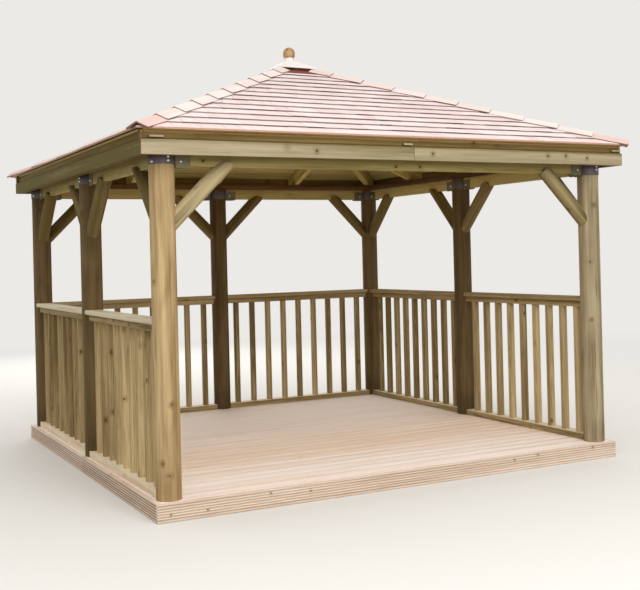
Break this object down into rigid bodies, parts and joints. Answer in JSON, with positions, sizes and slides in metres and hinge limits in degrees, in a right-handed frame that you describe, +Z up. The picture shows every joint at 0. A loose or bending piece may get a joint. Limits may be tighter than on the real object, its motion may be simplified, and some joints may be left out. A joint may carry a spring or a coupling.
{
  "type": "garden gazebo",
  "caption": "Square open-sided wooden garden gazebo with round-log posts, slatted railings on three sides, a low deck and a shingled pyramid roof.",
  "frame": {"origin": "centre of the base at ground level", "axes": "+X along the open front to the right as seen from outside, +Y from the open front to the back, +Z up"},
  "size_m": [3.9042, 3.8434, 3.2924],
  "materials": {
    "post_timber": "treated softwood log",
    "brace_timber": "treated softwood log",
    "beam_timber": "treated sawn softwood",
    "rafter_timber": "treated sawn softwood",
    "railing_timber": "treated planed softwood",
    "handrail_timber": "treated planed softwood",
    "fascia_timber": "pale planed softwood",
    "rim_timber": "treated sawn softwood",
    "skirt_timber": "grooved decking board",
    "deck_timber": "smooth decking board",
    "frame_timber": "treated sawn softwood",
    "ceiling_timber": "planed roof board",
    "cedar_shingle": "sawn cedar shingle",
    "cedar_capping": "sawn cedar board",
    "bracket_steel": "dull coated steel",
    "cap_metal": "satin sheet",
    "finial_timber": "turned softwood"
  },
  "bodies": {
    "root": {"back_beam": "beam_timber", "back_braces": "brace_timber", "back_fascia": "fascia_timber", "back_left_post": "post_timber", "back_left_railing": "railing_timber", "back_right_post": "post_timber", "back_right_railing": "railing_timber", "back_shingles": "cedar_shingle", "back_skirt": "skirt_timber", "deck": "deck_timber", "finial": "finial_timber", "floor_frame": "frame_timber", "front_beam": "beam_timber", "front_braces": "brace_timber", "front_fascia": "fascia_timber", "front_left_post": "post_timber", "front_right_post": "post_timber", "front_shingles": "cedar_shingle", "front_skirt": "skirt_timber", "handrails": "handrail_timber", "hip_caps": "cedar_capping", "hip_rafters": "rafter_timber", "left_back_railing": "railing_timber", "left_beam": "beam_timber", "left_braces": "brace_timber", "left_fascia": "fascia_timber", "left_front_railing": "railing_timber", "left_shingles": "cedar_shingle", "left_skirt": "skirt_timber", "mid_back_post": "post_timber", "mid_left_post": "post_timber", "mid_right_post": "post_timber", "post_brackets": "bracket_steel", "rafters": "rafter_timber", "right_back_railing": "railing_timber", "right_beam": "beam_timber", "right_braces": "brace_timber", "right_fascia": "fascia_timber", "right_front_railing": "railing_timber", "right_shingles": "cedar_shingle", "right_skirt": "skirt_timber", "rim_boards": "rim_timber", "roof_boards": "ceiling_timber", "roof_cap": "cap_metal", "top_plate": "beam_timber"}
  },
  "joints": []
}
